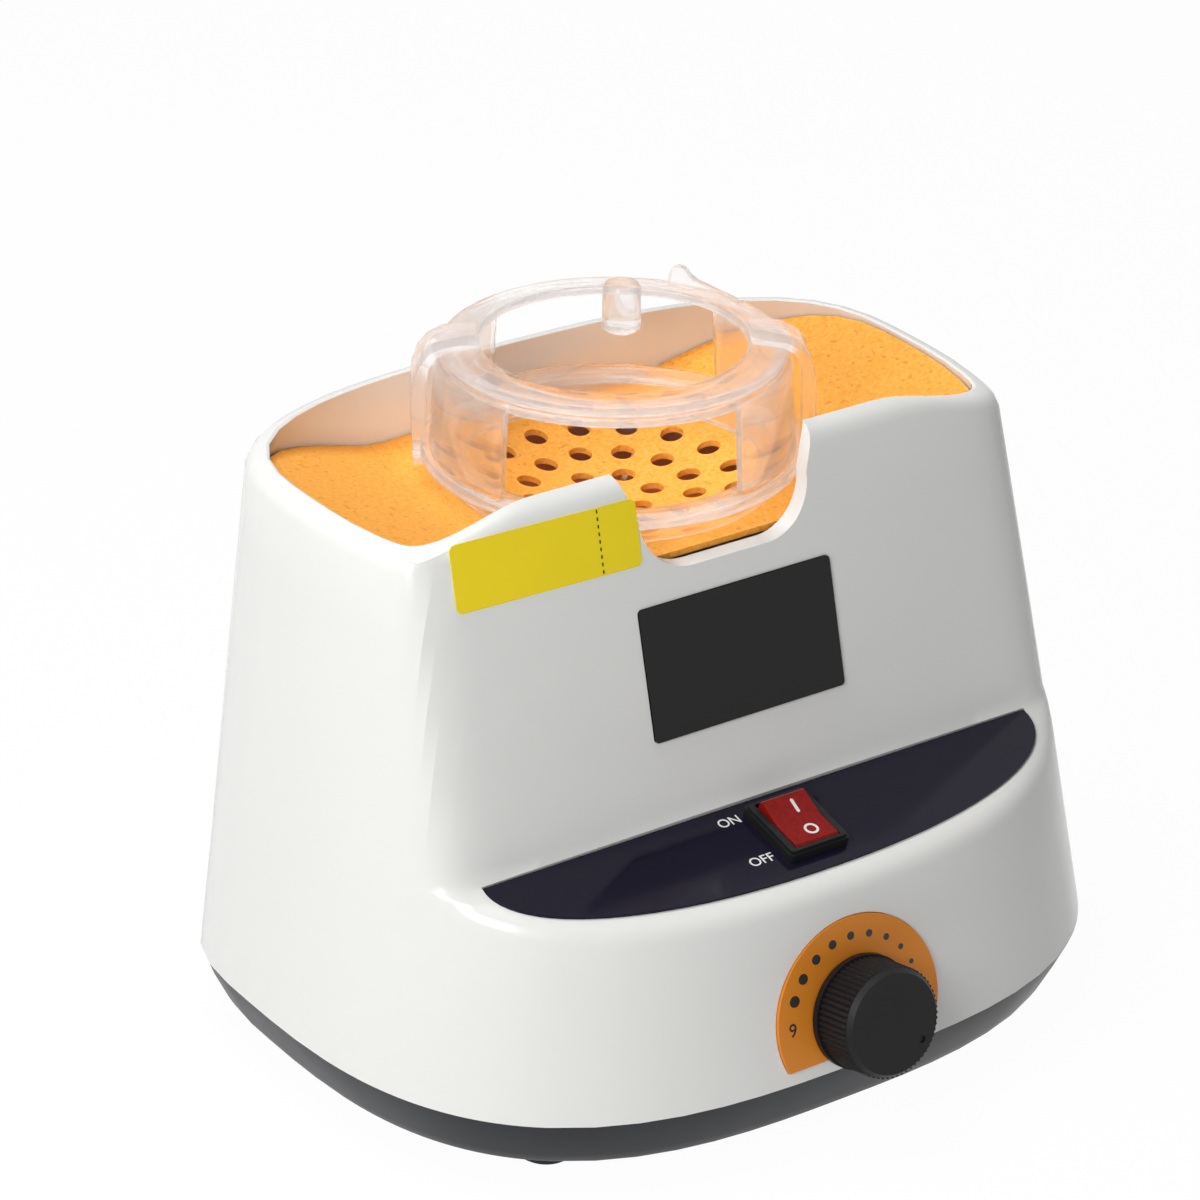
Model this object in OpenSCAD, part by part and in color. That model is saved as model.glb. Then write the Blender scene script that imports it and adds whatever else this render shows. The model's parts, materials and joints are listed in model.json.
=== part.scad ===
// Eyeglass frame warmer: a moulded housing on a dark base tray, with a fan
// that blows up through a heater and a dished orange plate into a clear hood.
// +Z is up, the front faces -Y, and the origin is on the ground at the middle
// of the box round the whole object, so y = 0 is half way along its depth.

/* [Body outline] */
// Width of the body at the seam between base and housing
body_w = 205.4; // [190:0.1:220]
// Front of the body at the seam, measured from the origin
body_front = 75.1; // [70:0.1:80]
// Back of the body at the seam, measured from the origin
body_back = 80.4; // [78:0.1:90]
// Width of the body at the rim
rim_w = 174; // [160:1:185]
// Lean of the front lower wall, in degrees
front_lean = 12.9; // [8:0.1:16]
// Back of the body at the rim, measured from the origin
rim_back = 76.6; // [76.2:0.1:80]
// Place of the outline's widest part, from the origin
wide_y = 27.4; // [20:0.2:34]
// Squareness of the outline's front, 2 is an ellipse
front_square = 2.9; // [2.4:0.05:3.4]
// Squareness of the outline's back
back_square = 2.9; // [2.4:0.05:3.6]
// Softness of the two upright front edges, higher is sharper
edge_power = 30; // [18:1:60]

/* [Heights] */
// How far the rubber feet show below the base
foot_show = 2.5; // [2:0.1:5]
// Height of the seam between base and housing
seam_z = 16; // [13:0.5:20]
// Height of the back of the ledge, where it meets the face
ledge_z = 65.6; // [60:0.2:72]
// Height of the rim at the sides and back
rim_z = 138.5; // [134:0.5:146]
// How much higher the front wall stands beside the notch
rim_crown = 4.5; // [0:0.5:7]

/* [Front face and ledge] */
// Distance of the face from the origin at the ledge
face_front = 33.9; // [30:0.1:38]
// Lean of the face, in degrees
face_lean = 14.5; // [8:0.5:17]
// Fall of the ledge towards the front, in degrees
ledge_fall = 12.6; // [8:0.2:18]
// Rounding of the outer edge of the ledge
ledge_round = 4; // [2:0.5:5]
// Distance from the dark panel to the side of the body
panel_side = 20.2; // [19:0.2:34]
// Depth of the dark panel, down the ledge
panel_deep = 26.5; // [22:0.5:28]
// Thickness of the dark panel
panel_t = 1.2; // [0.8:0.1:1.6]

/* [Walls] */
// Wall of the housing and of the base
wall = 3; // [2.5:0.1:3.5]
// Width of the rim
rim_land = 4.6; // [4:0.2:5]
// Rounding of the rim's outer edge
rim_round = 4; // [2:0.5:4.5]
// Gap round pieces that seat in a recess
seat_gap = 0.2; // [0.1:0.05:0.4]

/* [Notch in the front wall] */
// Width of the notch at its mouth
notch_w = 50; // [49:0.5:54]
// Width of the notch near its floor
notch_floor_w = 46.6; // [46:0.2:48]
// Depth of the notch below the rim
notch_deep = 18; // [17:0.5:19]
// Rounding of the notch's floor corners
notch_round = 13; // [9:0.5:14]

/* [Plaque] */
// Width of the plaque on the face
plaque_w = 52.8; // [40:0.2:56]
// Height of the plaque
plaque_h = 30.8; // [20:0.2:34]
// Height of the plaque's middle above the ground
plaque_z = 99; // [92:0.5:106]

/* [Switch] */
// Width of the switch's bezel
bezel_w = 16.6; // [16:0.1:19]
// Length of the switch's bezel, down the ledge
bezel_l = 19; // [18:0.1:20.5]
// Distance of the switch's middle down the ledge
switch_down = 13.4; // [12:0.1:14.5]
// How far the bezel stands above the ledge
bezel_up = 2.8; // [2:0.1:3.5]
// Tilt of the rocker to each side, in degrees
rocker_tilt = 8; // [6:0.5:9]

/* [Heat knob] */
// Height of the knob's axis where it leaves the wall
knob_z = 28; // [26:0.5:32]
// Diameter of the knob
knob_d = 26; // [24:0.5:30]
// Length of the knob
knob_l = 12.6; // [10:0.1:16]
// Number of ribs round the knob
knob_ribs = 60; // [30:1:72]
// Diameter of the orange dial plate
dial_d = 44.6; // [38:0.2:46]
// Thickness of the dial plate
dial_t = 1.2; // [1:0.1:1.6]
// Diameter of the heat control's shaft
shaft_d = 6; // [5:0.5:6.5]

/* [Top plate] */
// How far the plate's flat middle lies below the rim
trough_deep = 16.5; // [16:0.1:17]
// Half width of the plate's flat middle
trough_half = 39; // [38:0.5:42]
// How far the plate's edge lies below the rim at the sides
wing_deep = 1.1; // [0.8:0.1:3]
// Thickness of the plate
plate_t = 1.5; // [1.2:0.1:2]
// Radius of the dished, drilled middle
dish_r = 33; // [30:0.5:34]
// Depth of the dish
dish_deep = 5; // [3:0.5:6]
// Diameter of the round air holes
hole_d = 5.6; // [4:0.2:6]

/* [Air path] */
// Place of the fan, heater and hood axis, from the origin
air_y = 27; // [26.8:0.1:27.2]
// Inner radius of the air duct
duct_r = 34.6; // [34:0.1:35]
// Wall of the air duct
duct_t = 0.8; // [0.6:0.1:1]
// Radius of the fan's blades
fan_r = 31.5; // [28:0.5:33]
// Number of fan blades
fan_blades = 7; // [5:1:9]
// Height of the motor bracket's plate
bracket_z = 42; // [40:0.5:44]
// Radius of the heating coil's turns
coil_r = 27; // [24:0.5:28]
// Number of turns in the heating coil
coil_turns = 8; // [5:1:10]
// Thickness of the coil
coil_d = 2.4; // [1.6:0.2:2.8]

/* [Clear hood] */
// Outer radius of the hood's flange
flange_r = 44.4; // [44:0.1:44.6]
// Outer radius of the hood's wall
hood_r = 42.4; // [42:0.1:42.6]
// Wall of the hood
hood_t = 2; // [1.6:0.1:2.4]
// Height of the flange's underside above the plate
flange_up = 6.3; // [6:0.1:7]
// Height of the hood's wall above the flange's underside
hood_up = 20.7; // [19:0.1:23]
// Turn of the hood about the upright axis, in degrees
hood_turn = -28; // [-40:1:0]
// Radius of the opening in the shutter ring
ring_hole_r = 29; // [26:0.5:31]

/* [Hidden] */

white = [0.93, 0.92, 0.90];
dark_grey = [0.22, 0.23, 0.25];
rubber_black = [0.08, 0.08, 0.08];
navy = [0.14, 0.13, 0.19];
orange = [0.97, 0.62, 0.28];
steel = [0.75, 0.76, 0.78];
clear = [0.92, 0.95, 0.97, 0.35];
$fn = 64;

// ---- Outline of the body: a soft rounded square, cut flat by the face ----
rise = rim_z - seam_z;
notch_floor_z = rim_z - notch_deep;
trough_z = rim_z - trough_deep;
wing_z = rim_z - wing_deep;
flange_z = trough_z + flange_up;
hood_top = flange_z + hood_up;
face_slope = tan(face_lean);
ledge_slope = tan(ledge_fall);
function mix(a, b, t) = a + (b - a) * t;
function up_share(z) = (z - seam_z) / rise;
function half_w(z) = mix(body_w, rim_w, up_share(z)) / 2;
function front_at(z) = body_front - (z - seam_z) * tan(front_lean);
function back_at(z) = mix(body_back, rim_back, up_share(z));
function face_at(z) = face_front - (z - ledge_z) * face_slope;

// Radius of the rounded square in direction a at height z, drawn in by inset
function full_r(a, z, inset) =
  let (w = half_w(z) - inset,
       d = (sin(a) < 0 ? front_at(z) + wide_y : back_at(z) - wide_y) - inset,
       n = sin(a) < 0 ? front_square : back_square)
  pow(pow(abs(cos(a) / w), n) + pow(abs(sin(a) / d), n), -1 / n);
// The same outline, cut by the face, with soft upright edges
function cut_r(a, z, inset) =
  sin(a) > -0.05 ? full_r(a, z, inset)
  : let (flat = (face_at(z) + wide_y - inset) / -sin(a))
    pow(pow(full_r(a, z, inset), -edge_power) + pow(flat, -edge_power), -1 / edge_power);
function spot(a, r, z) = [r * cos(a), wide_y + r * sin(a), z];

// Directions of the outline's points, close together at the front edges
right_dirs = concat([for (i = [0:7]) -90 + i * 5.1], [for (i = [0:19]) -49 + i * 1.5],
  [for (i = [0:19]) -19 + i * 5.45]);
dirs = concat(right_dirs, [90], [for (i = [len(right_dirs) - 1:-1:1]) 180 - right_dirs[i]]);

// A closed skin through rings of points, capped flat at both ends
module rings_solid(rings) {
  n = len(rings[0]);
  m = len(rings);
  polyhedron(points = [for (r = rings) each r],
    faces = concat([[for (i = [0:n - 1]) i]],
      [for (j = [0:m - 2]) for (i = [0:n - 1]) each [
        [j * n + i, (j + 1) * n + i, (j + 1) * n + (i + 1) % n],
        [j * n + i, (j + 1) * n + (i + 1) % n, j * n + (i + 1) % n]]],
      [[for (i = [n - 1:-1:0]) (m - 1) * n + i]]), convexity = 8);
}

// A closed skin through rings that runs back to its first ring, as a wall does
module wall_solid(rings) {
  n = len(rings[0]);
  m = len(rings);
  polyhedron(points = [for (r = rings) each r],
    faces = [for (j = [0:m - 1]) for (i = [0:n - 1]) each [
        [j * n + i, ((j + 1) % m) * n + i, ((j + 1) % m) * n + (i + 1) % n],
        [j * n + i, ((j + 1) % m) * n + (i + 1) % n, j * n + (i + 1) % n]]], convexity = 10);
}

// ---- Housing: stations up the outside, over the rim and down the inside ----
// Height of the ledge's surface at distance y in front of the face
function ledge_at(y) = ledge_z + min(0, y + face_front) * ledge_slope;
function ledge_width(a) = full_r(a, ledge_z, 0) - cut_r(a, ledge_z, 0);
function edge_z(a) = ledge_at(wide_y + full_r(a, ledge_z - 6, 0) * sin(a));
function rim_at(a) =
  let (x = abs(cut_r(a, rim_z, 0) * cos(a)), t = min(1, max(0, (84 - x) / 30)))
  rim_z + (sin(a) < 0 && face_at(rim_z) + wide_y < cut_r(a, rim_z, 0) * -sin(a) + 6
    ? rim_crown * t * t * (3 - 2 * t) : 0);

lower_rings = [for (t = [0, 0.33, 0.66, 1]) [for (a = dirs)
  let (z = mix(seam_z, edge_z(a) - ledge_round, t)) spot(a, full_r(a, z, 0), z)]];
edge_rings = [for (t = [30, 60, 90]) [for (a = dirs)
  let (e = min(ledge_round, 0.4 * ledge_width(a)), z = edge_z(a) - ledge_round * (1 - sin(t)))
  spot(a, full_r(a, z, 0) - e * (1 - cos(t)), z)]];
foot_round = 2.5;
foot_rings = [for (t = [0, 35, 90]) [for (a = dirs)
  let (e = min(foot_round, 0.3 * ledge_width(a)), up = foot_round * (1 - cos(t)),
       r = cut_r(a, ledge_z, 0) + e * (1 - sin(t)),
       z = max(edge_z(a) + 0.6 + 0.02 * t, ledge_at(wide_y + r * sin(a))) + up)
  spot(a, cut_r(a, z, 0) + e * (1 - sin(t)), z)]];
upper_rings = [for (t = [0.25, 0.5, 0.75, 1]) [for (a = dirs)
  let (z = mix(ledge_z + 6, rim_at(a) - rim_round, t)) spot(a, cut_r(a, z, 0), z)]];
lip_rings = [for (t = [30, 60, 90]) [for (a = dirs)
  let (z = rim_at(a) - rim_round * (1 - sin(t)))
  spot(a, cut_r(a, z, rim_round * (1 - cos(t))), z)]];
land_rings = [[for (a = dirs) spot(a, cut_r(a, rim_z, rim_land), rim_at(a) - 0.3)]];
inner_levels = [[trough_z - 6, rim_land], [trough_z - 12, wall], [ledge_z + 6, wall]];
inner_rings = [for (l = inner_levels) [for (a = dirs) spot(a, cut_r(a, l[0], l[1]), l[0])]];
under_rings = [
  [for (a = dirs) let (z = ledge_at(wide_y + cut_r(a, ledge_z, 0) * sin(a)) - wall)
    spot(a, cut_r(a, z, wall), z)],
  [for (a = dirs) let (z = edge_z(a) - wall - 1.5) spot(a, full_r(a, z, wall + 0.5), z)],
  [for (a = dirs) let (z = edge_z(a) - wall - 8) spot(a, full_r(a, z, wall), z)],
  [for (a = dirs) spot(a, full_r(a, seam_z, wall), seam_z)]];

// Frames on the sloping fronts: local +Z points out of the surface
module on_face(up) {
  translate([0, -face_front, ledge_z]) rotate([90 - face_lean, 0, 0]) translate([0, up, 0]) children();
}
module on_ledge(down) {
  translate([0, -face_front, ledge_z]) rotate([ledge_fall, 0, 0]) translate([0, -down, 0]) children();
}
module on_front() {
  translate([0, -front_at(knob_z), knob_z]) rotate([90 - front_lean, 0, 0]) children();
}
plaque_up = (plaque_z - ledge_z) / cos(face_lean);

// Outline of the dark panel: a half superellipse with its straight side at the face
module panel_outline(grow) {
  n = 2.2;
  polygon([for (i = [0:48]) let (a = i * 180 / 48, c = cos(a), s = sin(a))
    [sign(c) * pow(abs(c), 2 / n) * (panel_half + grow), -pow(abs(s), 2 / n) * (panel_deep + grow) + grow]]);
}
panel_gap = 0.8;
panel_half = half_w(ledge_z) - panel_side;

// Round-cornered rectangle, with exact arcs
module pad_outline(w, l, r) {
  square([w - 2 * r, l], center = true);
  square([w, l - 2 * r], center = true);
  for (x = [-1, 1], y = [-1, 1]) translate([x * (w / 2 - r), y * (l / 2 - r)]) circle(r, $fn = 32);
}

// Shape that is taken out of the front wall for the hood's flange
module notch_cut() {
  top = rim_z + 12;
  flare = (notch_w - notch_floor_w) / 2 / (rim_z - notch_floor_z - notch_round);
  half = notch_floor_w / 2;
  over = top - notch_floor_z - notch_round;
  translate([0, air_y, 0]) rotate([90, 0, 0]) linear_extrude(90) {
    translate([0, notch_floor_z]) {
      translate([-(half - notch_round), 0]) square([2 * (half - notch_round), notch_round]);
      for (s = [-1, 1]) translate([s * (half - notch_round), notch_round]) circle(notch_round, $fn = 48);
      polygon([[-half, notch_round], [half, notch_round],
        [half + flare * over, notch_round + over], [-half - flare * over, notch_round + over]]);
    }
  }
}

// Places of the four screw bosses, just inside the wall
boss_dirs = [10, 170, 216, 324];
boss_r = 4.5;
boss_in = 8;
function boss_spot(a) = let (r = full_r(a, seam_z, wall + boss_in)) [r * cos(a), wide_y + r * sin(a)];
boss_top = seam_z + 20;
rib_l = 6.2;
rib_t = 2;
screw_r = 1.5;
gland_z = 30;
gland_lean = atan((body_back - rim_back) / rise);
module on_back() {
  translate([0, back_at(gland_z), gland_z]) rotate([gland_lean - 90, 0, 0]) children();
}
gland_r = 6;
switch_body_w = 14.6;
switch_body_l = 16.8;

module housing_shell() {
  color(white) difference() {
    union() {
      wall_solid(concat(lower_rings, edge_rings, foot_rings, upper_rings, lip_rings, land_rings,
        inner_rings, under_rings));
      for (a = boss_dirs) translate([boss_spot(a)[0], boss_spot(a)[1], 0]) {
        translate([0, 0, seam_z + 0.3]) cylinder(h = boss_top - seam_z, r = boss_r);
        rotate([0, 0, a]) translate([0, -rib_t / 2, seam_z + 6]) cube([rib_l, rib_t, boss_top - seam_z - 6]);
      }
    }
    notch_cut();
    on_ledge(0) translate([0, -panel_gap, -panel_t]) linear_extrude(6) panel_outline(seat_gap);
    on_ledge(switch_down) translate([0, 0, -10]) linear_extrude(12)
      pad_outline(switch_body_w + 2 * seat_gap, switch_body_l + 2 * seat_gap, 1);
    on_face(plaque_up) translate([0, 0, -plaque_sink]) linear_extrude(4)
      pad_outline(plaque_w + 2 * seat_gap, plaque_h + 2 * seat_gap, 1.2);
    on_front() {
      translate([0, 0, -dial_sink]) linear_extrude(5) dial_outline(seat_gap);
      translate([0, 0, -12]) cylinder(h = 14, r = bush_r + seat_gap);
    }
    on_back() translate([0, 0, -12]) cylinder(h = 20, r = gland_r + seat_gap);
    for (a = boss_dirs) translate([boss_spot(a)[0], boss_spot(a)[1], seam_z - 1])
      cylinder(h = boss_top - seam_z - 4, r = screw_r);
  }
}
plaque_sink = 0.5;
plaque_t = 1;
dial_sink = 0.8;

// ---- Base tray, with the air intake in its floor ----
tray_floor = 2.5;
lip_up = 3;
lip_gap = 0.35;
under_turn = [[foot_show, 5.5], [foot_show + 0.8, 4.2], [foot_show + 3, 2.8], [seam_z - 3, 0.2], [seam_z, 0]];
function tray_inset(z) = (seam_z - z) * 0.34;
tray_rings = concat(
  [for (l = under_turn) [for (a = dirs) spot(a, full_r(a, seam_z, tray_inset(l[0]) + l[1] * 0.35), l[0])]],
  [for (l = [[seam_z, wall + lip_gap], [seam_z + lip_up, wall + lip_gap], [seam_z + lip_up, wall + lip_gap + 1.6],
             [seam_z - 4, wall + 2.2], [foot_show + tray_floor, wall + 6]])
    [for (a = dirs) spot(a, full_r(a, max(seam_z, l[0]), l[1]), l[0])]]);
foot_spots = [[66.3, -45.6], [-66.3, -45.6], [60, 54], [-60, 54]];
foot_r = 7.5;
foot_sink = 1.5;
floor_top = foot_show + tray_floor;
post_dirs = [30, 150, 270];
post_ring = duct_r + 11.4;
post_spots = [for (a = post_dirs) [post_ring * cos(a), air_y + post_ring * sin(a)]];
post_r = 4;
board_x = -40;
board_y = -26.6;
board_w = 50;
board_l = 30;
board_posts = [for (x = [-1, 1], y = [-1, 1]) [board_x + x * (board_w / 2 - 4), board_y + y * (board_l / 2 - 4)]];
board_z = floor_top + 8;
terminal_y = 62;
intake_r = 25;
intake_pitch = 6;
intake_w = 3;
terminal_pad = 4;

module base_tray() {
  color(dark_grey) difference() {
    union() {
      rings_solid(tray_rings);
      for (p = post_spots) translate([p[0], p[1], floor_top - 1]) cylinder(h = bracket_z - floor_top + 1, r = post_r);
      for (p = board_posts) translate([p[0], p[1], floor_top - 1]) cylinder(h = board_z - floor_top + 1, r = 3);
      for (a = boss_dirs) translate([boss_spot(a)[0], boss_spot(a)[1], foot_show + 0.4])
        cylinder(h = seam_z - foot_show - 0.4, r = boss_r - 0.3);
      translate([-15, terminal_y - 9, floor_top - 1]) cube([30, 14, terminal_pad + 1]);
    }
    for (x = [-18:intake_pitch:18]) let (half = sqrt(intake_r * intake_r - x * x))
      translate([x - intake_w / 2, air_y - half, 0]) cube([intake_w, 2 * half, 9]);
    for (p = foot_spots) translate([p[0], p[1], foot_show - 1]) {
      cylinder(h = 1 + foot_sink, r = foot_r + 0.1);
      cylinder(h = 8, r = 2);
    }
    for (a = boss_dirs) translate([boss_spot(a)[0], boss_spot(a)[1], -1]) {
      cylinder(h = 30, r = screw_r + 0.2);
      cylinder(h = 1 + foot_show + 4, r = 3.2);
    }
    for (p = post_spots) translate([p[0], p[1], bracket_z - 12]) cylinder(h = 20, r = 1.25);
    for (p = board_posts) translate([p[0], p[1], board_z - 6]) cylinder(h = 10, r = 1.05);
  }
}
module rubber_feet() {
  color(rubber_black) for (p = foot_spots) translate([p[0], p[1], 0]) {
    rotate_extrude() polygon([[0, 0.4], [3, 0.4], [3, 0], [foot_r - 1.5, 0], [foot_r - 0.5, 0.8],
      [foot_r, foot_show], [foot_r, foot_show + foot_sink], [0, foot_show + foot_sink]]);
    translate([0, 0, foot_show]) cylinder(h = floor_top - foot_show + 1, r = 1.9);
    translate([0, 0, floor_top + 0.1]) cylinder(h = 1.4, r1 = 2.9, r2 = 1.4);
  }
}
module base_screws() {
  color(steel) for (a = boss_dirs) translate([boss_spot(a)[0], boss_spot(a)[1], foot_show + 1.4]) difference() {
    union() {
      cylinder(h = 2.5, r = 2.9);
      cylinder(h = boss_top - foot_show - 12, r = screw_r - 0.05);
    }
    for (t = [0, 90]) rotate([0, 0, t]) translate([-1.6, -0.35, -0.1]) cube([3.2, 0.7, 1.3]);
  }
}

// ---- Pieces on the sloping fronts ----
module ledge_panel() {
  color(navy) on_ledge(0) difference() {
    translate([0, -panel_gap, -panel_t]) linear_extrude(panel_t) panel_outline(0);
    translate([0, -switch_down, -4]) linear_extrude(8)
      pad_outline(switch_body_w + 2 * seat_gap, switch_body_l + 2 * seat_gap, 1);
  }
}
module front_plaque() {
  color([0.14, 0.15, 0.14]) on_face(plaque_up) translate([0, 0, -plaque_sink])
    linear_extrude(plaque_t) pad_outline(plaque_w, plaque_h, 1);
}
dial_cut = (knob_z - seam_z - 3.2) / cos(front_lean);
module dial_outline(grow) {
  difference() {
    circle(dial_d / 2 + grow, $fn = 96);
    translate([-dial_d, -dial_d - dial_cut - grow]) square([2 * dial_d, dial_d]);
  }
}
module dial_plate() {
  color([0.80, 0.45, 0.10]) on_front() difference() {
    translate([0, 0, -dial_sink]) linear_extrude(dial_t) dial_outline(0);
    translate([0, 0, -5]) cylinder(h = 10, r = bush_r + seat_gap);
  }
}

// ---- Rocker switch ----
rocker_w = 11.8;
rocker_half = 7.5;
open_w = 12.4;
open_l = 16.4;
pivot_up = -0.6;
switch_deep = 15;
pin_r = 1;
run_gap = 0.05;
module switch_body() {
  color([0.07, 0.07, 0.08]) on_ledge(switch_down) difference() {
    union() {
      linear_extrude(bezel_up - 0.8) pad_outline(bezel_w, bezel_l, 1);
      translate([0, 0, bezel_up - 0.8]) linear_extrude(0.8) pad_outline(bezel_w - 1, bezel_l - 1, 0.8);
      translate([0, 0, -switch_deep]) linear_extrude(switch_deep + 1)
        pad_outline(switch_body_w, switch_body_l, 0.8);
    }
    translate([-open_w / 2, -open_l / 2, -9.5]) cube([open_w, open_l, 20]);
    translate([-7, 0, pivot_up]) rotate([0, 90, 0]) cylinder(h = 14, r = pin_r + run_gap);
    translate([0, 0, -switch_deep + 2.5]) cylinder(h = 5, r = 3);
  }
}
// Side view of the rocker: a shallow V on top, a round belly below
module rocker_side() {
  polygon([[-rocker_half, -1.6], [-rocker_half + 0.1, 4.2], [-rocker_half + 0.6, 4.6], [0, 3.6],
    [rocker_half - 0.6, 4.6], [rocker_half - 0.1, 4.2], [rocker_half, -1.6],
    [4.2, -4.2], [0, -5], [-4.2, -4.2]]);
}
module switch_rocker() {
  color([0.70, 0.06, 0.03]) on_ledge(switch_down) translate([0, 0, pivot_up])
    rotate([rocker_tilt, 0, 0]) difference() {
      union() {
        rotate([90, 0, 90]) translate([0, 0, -rocker_w / 2]) linear_extrude(rocker_w) rocker_side();
        translate([-6.9, 0, 0]) rotate([0, 90, 0]) cylinder(h = 13.8, r = pin_r);
      }
      translate([-rocker_w / 2 + 1.4, -3, -6]) cube([rocker_w - 2.8, 6, 4.8]);
    }
}
module switch_lamp() {
  color([0.95, 0.55, 0.35]) on_ledge(switch_down) translate([0, 0, -switch_deep + 2.6]) {
    cylinder(h = 4, r = 2.4);
    translate([0, 0, 4]) sphere(2.4, $fn = 32);
  }
}
module switch_terminals() {
  color(steel) on_ledge(switch_down) for (y = [-5.5, 0, 5.5])
    translate([-2.4, y - 0.4, -switch_deep - 8]) difference() {
      cube([4.8, 0.8, 8]);
      translate([2.4, 2, 2.4]) rotate([90, 0, 0]) cylinder(h = 4, r = 0.8, $fn = 24);
    }
}

// ---- Heat control behind the dial, and its knob ----
bush_r = 3.5;
nut_up = dial_t - dial_sink + 0.6;
module dimmer_body() {
  color([0.30, 0.31, 0.33]) on_front() difference() {
    union() {
      translate([0, 0, -wall - 9.2]) cylinder(h = 9, r = 7.8);
      translate([0, 0, -wall - 1]) cylinder(h = wall + 1 + nut_up + 3, r = bush_r);
      translate([-6, -14, -wall - 6]) cube([12, 7, 1.6]);
    }
    translate([0, 0, -wall - 7.5]) cylinder(h = 30, r = shaft_d / 2 + run_gap);
  }
}
module dimmer_washer() {
  color(steel) on_front() translate([0, 0, dial_t - dial_sink + 0.05]) difference() {
    cylinder(h = 0.5, r = 6);
    translate([0, 0, -1]) cylinder(h = 3, r = bush_r + 0.15);
  }
}
module dimmer_nut() {
  color(steel) on_front() translate([0, 0, nut_up]) difference() {
    cylinder(h = 2.2, r = 5.7, $fn = 6);
    translate([0, 0, -1]) cylinder(h = 5, r = bush_r + 0.03);
  }
}
knob_under = dial_t - dial_sink + 0.6;
knob_top = knob_under + knob_l;
module dimmer_shaft() {
  color(steel) on_front() translate([0, 0, -wall - 7.2]) difference() {
    cylinder(h = wall + 7.2 + knob_top - 2.6, r = shaft_d / 2);
    translate([shaft_d / 2 - 1.4, -5, wall + 7.2 + knob_under + 6]) cube([6, 10, 20]);
  }
}
// Ribbed outline of the knob: a rounded tooth for each rib
module ribbed(r, deep) {
  polygon([for (i = [0:knob_ribs * 4 - 1]) let (a = i * 90 / knob_ribs)
    (r - deep * (1 - [1, 0.6, 0, 0.6][i % 4])) * [cos(a), sin(a)]]);
}
module knob() {
  color([0.15, 0.15, 0.155]) on_front() difference() {
    union() {
      translate([0, 0, knob_under]) cylinder(h = 1.6, r = knob_d / 2 + 0.4);
      translate([0, 0, knob_under + 1.6]) linear_extrude(knob_l - 2.8) ribbed(knob_d / 2, 0.55);
      translate([0, 0, knob_top - 1.2]) cylinder(h = 1.2, r1 = knob_d / 2 - 0.35, r2 = knob_d / 2 - 1.3);
    }
    translate([0, 0, knob_under - 1]) cylinder(h = 5.6, r = 7.6);
    difference() {
      translate([0, 0, knob_under]) cylinder(h = knob_l - 2.2, r = shaft_d / 2 + run_gap);
      translate([shaft_d / 2 - 1.4 + run_gap, -5, knob_under + 6.1]) cube([6, 10, 20]);
    }
    translate([7, -5.8, knob_top - 0.45]) cylinder(h = 2, r = 0.9, $fn = 24);
  }
}

// ---- Orange top plate: two wings that fall to a flat middle with a drilled dish ----
wing_half = half_w(wing_z) - rim_land;
wing_slope = (wing_z - trough_z) / (wing_half - trough_half);
bend = 5;
function plate_top(x) = let (d = abs(x) - trough_half)
  trough_z + (d < -bend ? 0 : d > bend ? d * wing_slope : (d + bend) * (d + bend) / (4 * bend) * wing_slope);
// Point of the wings in direction a: share 0 lies on the dish's edge, share 1 beside the rim
plate_shares = [1, 0.8, 0.6, 0.42, 0.26, 0.12, 0];
dish_lap = 0.3;
function plate_edge(a, z) = let (r = cut_r(a, z, rim_land + 0.35)) [r * cos(a), wide_y + r * sin(a)];
function plate_spot(a, share) =
  let (guess = plate_edge(a, trough_z + 6), edge = plate_edge(a, plate_top(guess[0])),
       hub = [(dish_r + dish_lap) * cos(a), air_y + (dish_r + dish_lap) * sin(a)])
  mix(hub, edge, share);
function plate_ring(share, drop) = [for (a = dirs) let (p = plate_spot(a, share)) [p[0], p[1], plate_top(p[0]) - drop]];
ball_r = (dish_r * dish_r + dish_deep * dish_deep) / (2 * dish_deep);
function dish_top(r) = trough_z - dish_deep + ball_r - sqrt(ball_r * ball_r - r * r);
dish_rs = [for (i = [0:11]) i * dish_r / 11];
module dish() {
  translate([0, air_y, 0]) rotate_extrude($fn = 128) polygon(concat(
    [for (r = dish_rs) [r, dish_top(r)]],
    [[dish_r + 2 * dish_lap, trough_z - 0.05], [dish_r + 2 * dish_lap, trough_z - plate_t + 0.05]],
    [for (i = [len(dish_rs) - 1:-1:0]) [dish_rs[i], dish_top(dish_rs[i]) - plate_t]]));
}
hole_rows = [[1, 0], [6, 9.7], [12, 19.4], [16, 29]];
module top_plate() {
  color(orange) difference() {
    union() {
      wall_solid(concat([for (t = plate_shares) plate_ring(t, 0)],
        [for (i = [len(plate_shares) - 1:-1:0]) plate_ring(plate_shares[i], plate_t)]));
      dish();
    }
    for (row = hole_rows) for (i = [0:row[0] - 1]) let (a = i * 360 / row[0] + row[1] * 4)
      translate([row[1] * cos(a), air_y + row[1] * sin(a), trough_z - 12]) cylinder(h = 14, r = hole_d / 2, $fn = 32);
  }
}

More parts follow.
